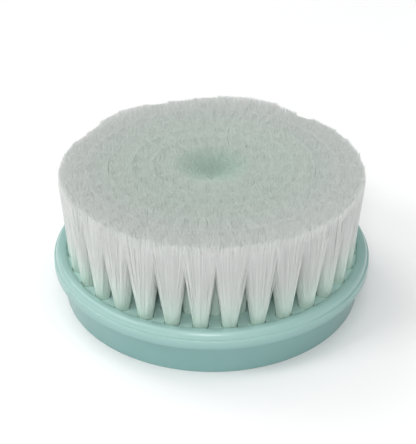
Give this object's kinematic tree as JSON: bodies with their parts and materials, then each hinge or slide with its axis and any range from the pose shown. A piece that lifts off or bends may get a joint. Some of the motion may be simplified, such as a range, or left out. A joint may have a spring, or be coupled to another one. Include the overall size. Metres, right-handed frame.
{
  "type": "facial cleansing brush head",
  "caption": "Round brush head with an overhanging rim, fixed outer tufts and an inner tufted disc that swings to and fro.",
  "frame": {"origin": "centre of the circle that the skirt's bottom edge makes", "axes": "+Z along the swing axis towards the bristle tips, -Y towards the front"},
  "size_m": [0.05, 0.05, 0.0215],
  "materials": {
    "mint_plastic": "satin moulded",
    "nylon_filament": "translucent nylon filament",
    "acetal": "smooth",
    "grey_plastic": "fine moulded texture",
    "steel": "rolled"
  },
  "bodies": {
    "housing": {"head_housing": "mint_plastic", "back_plate": "grey_plastic", "hub_bush": "acetal", "thrust_washer": "steel", "outer_tuft_1": "nylon_filament", "outer_tuft_2": "nylon_filament", "outer_tuft_3": "nylon_filament", "outer_tuft_4": "nylon_filament", "outer_tuft_5": "nylon_filament", "outer_tuft_6": "nylon_filament", "outer_tuft_7": "nylon_filament", "outer_tuft_8": "nylon_filament", "outer_tuft_9": "nylon_filament", "outer_tuft_10": "nylon_filament", "outer_tuft_11": "nylon_filament", "outer_tuft_12": "nylon_filament", "outer_tuft_13": "nylon_filament", "outer_tuft_14": "nylon_filament", "outer_tuft_15": "nylon_filament", "outer_tuft_16": "nylon_filament", "outer_tuft_17": "nylon_filament", "outer_tuft_18": "nylon_filament", "outer_tuft_19": "nylon_filament", "outer_tuft_20": "nylon_filament", "outer_tuft_21": "nylon_filament", "outer_tuft_22": "nylon_filament", "outer_tuft_23": "nylon_filament", "outer_tuft_24": "nylon_filament", "outer_tuft_25": "nylon_filament", "outer_tuft_26": "nylon_filament", "outer_tuft_27": "nylon_filament", "outer_tuft_28": "nylon_filament", "outer_tuft_29": "nylon_filament", "outer_tuft_30": "nylon_filament", "outer_tuft_31": "nylon_filament", "outer_tuft_32": "nylon_filament", "outer_tuft_33": "nylon_filament", "second_tuft_ring": "nylon_filament"},
    "rotor": {"inner_disc": "mint_plastic", "drive_hub": "acetal", "retaining_clip": "steel", "third_tuft_ring": "nylon_filament", "fourth_tuft_ring": "nylon_filament", "inner_tuft_ring": "nylon_filament"}
  },
  "joints": [
    {"name": "disc_swing", "type": "hinge", "parent": "housing", "child": "rotor", "pos_m": [0, 0, 0.002], "axis": [0, 0, 1], "range_deg": [-8, 8]}
  ]
}
